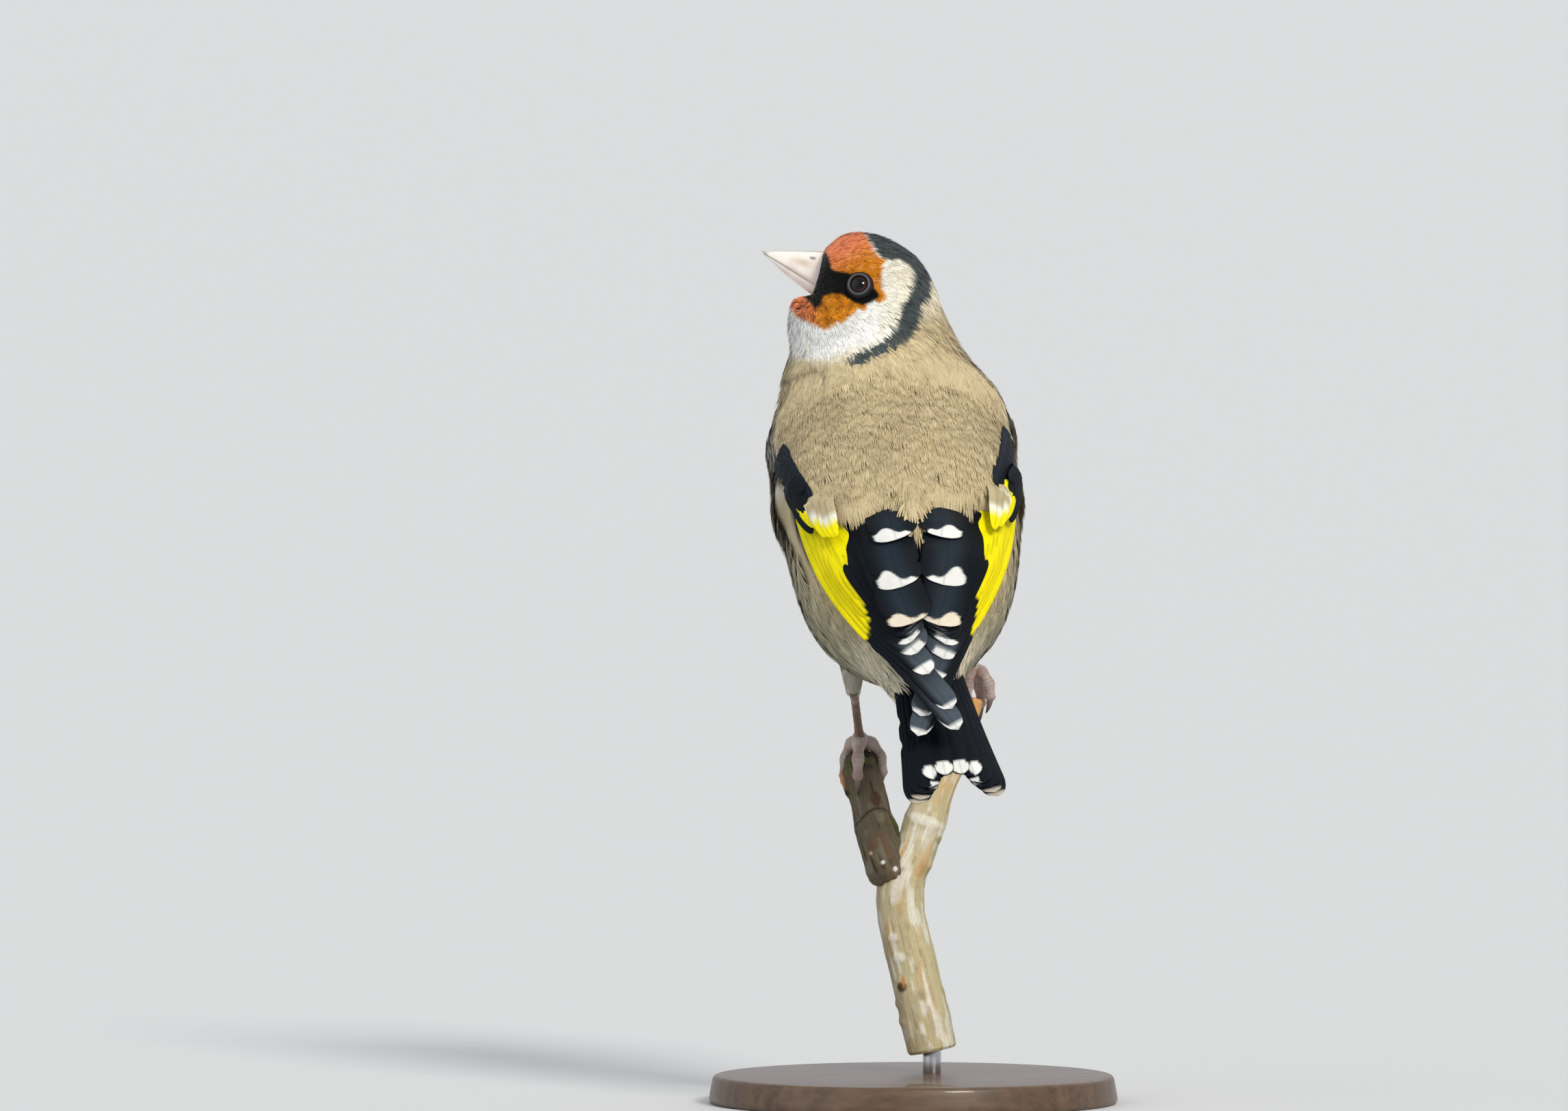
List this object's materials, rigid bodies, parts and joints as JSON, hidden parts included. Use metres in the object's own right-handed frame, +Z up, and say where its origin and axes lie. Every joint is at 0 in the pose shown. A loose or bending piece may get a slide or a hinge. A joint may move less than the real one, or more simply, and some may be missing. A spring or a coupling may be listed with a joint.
{
  "type": "bird model",
  "caption": "Life-size small finch perched with its head turned back, on a short forked twig over a round display base.",
  "frame": {"origin": "centre of the display base's underside", "axes": "+Z up; the bird's back faces -Y, its tail points down and to -Y, and its bill points to -X"},
  "size_m": [0.072, 0.0823, 0.1526],
  "materials": {
    "plumage_buff": "soft tan brown plumage, matt",
    "plumage_face": "red, white and black head plumage, matt",
    "plumage_black": "black flight feathers with yellow bars and pale tips, faint satin sheen",
    "horn": "pinkish white horn with a dark ridge and tip",
    "eye_gloss": "wet dark brown, glossy",
    "leg_skin": "pinkish grey scaled skin, matt",
    "claw_horn": "dark horn, satin",
    "bark": "pale tan and silver-grey bark, rough",
    "stand_wood": "dark stained wood, satin",
    "stand_steel": "brushed steel"
  },
  "bodies": {
    "root": {"torso": "plumage_buff", "neck": "plumage_buff", "shank_left": "plumage_buff", "shank_right": "plumage_buff", "head": "plumage_face", "wing_left": "plumage_black", "wing_right": "plumage_black", "tail": "plumage_black", "bill_upper": "horn", "bill_lower": "horn", "eye_left": "eye_gloss", "eye_right": "eye_gloss", "tarsus_left": "leg_skin", "tarsus_right": "leg_skin", "foot_left": "leg_skin", "foot_right": "leg_skin", "claw_left_1": "claw_horn", "claw_left_2": "claw_horn", "claw_left_3": "claw_horn", "claw_left_4": "claw_horn", "claw_right_1": "claw_horn", "claw_right_2": "claw_horn", "claw_right_3": "claw_horn", "claw_right_4": "claw_horn", "perch_stem": "bark", "perch_branch": "bark", "perch_stub": "bark", "stand_base": "stand_wood", "stand_rod": "stand_steel"}
  },
  "joints": []
}
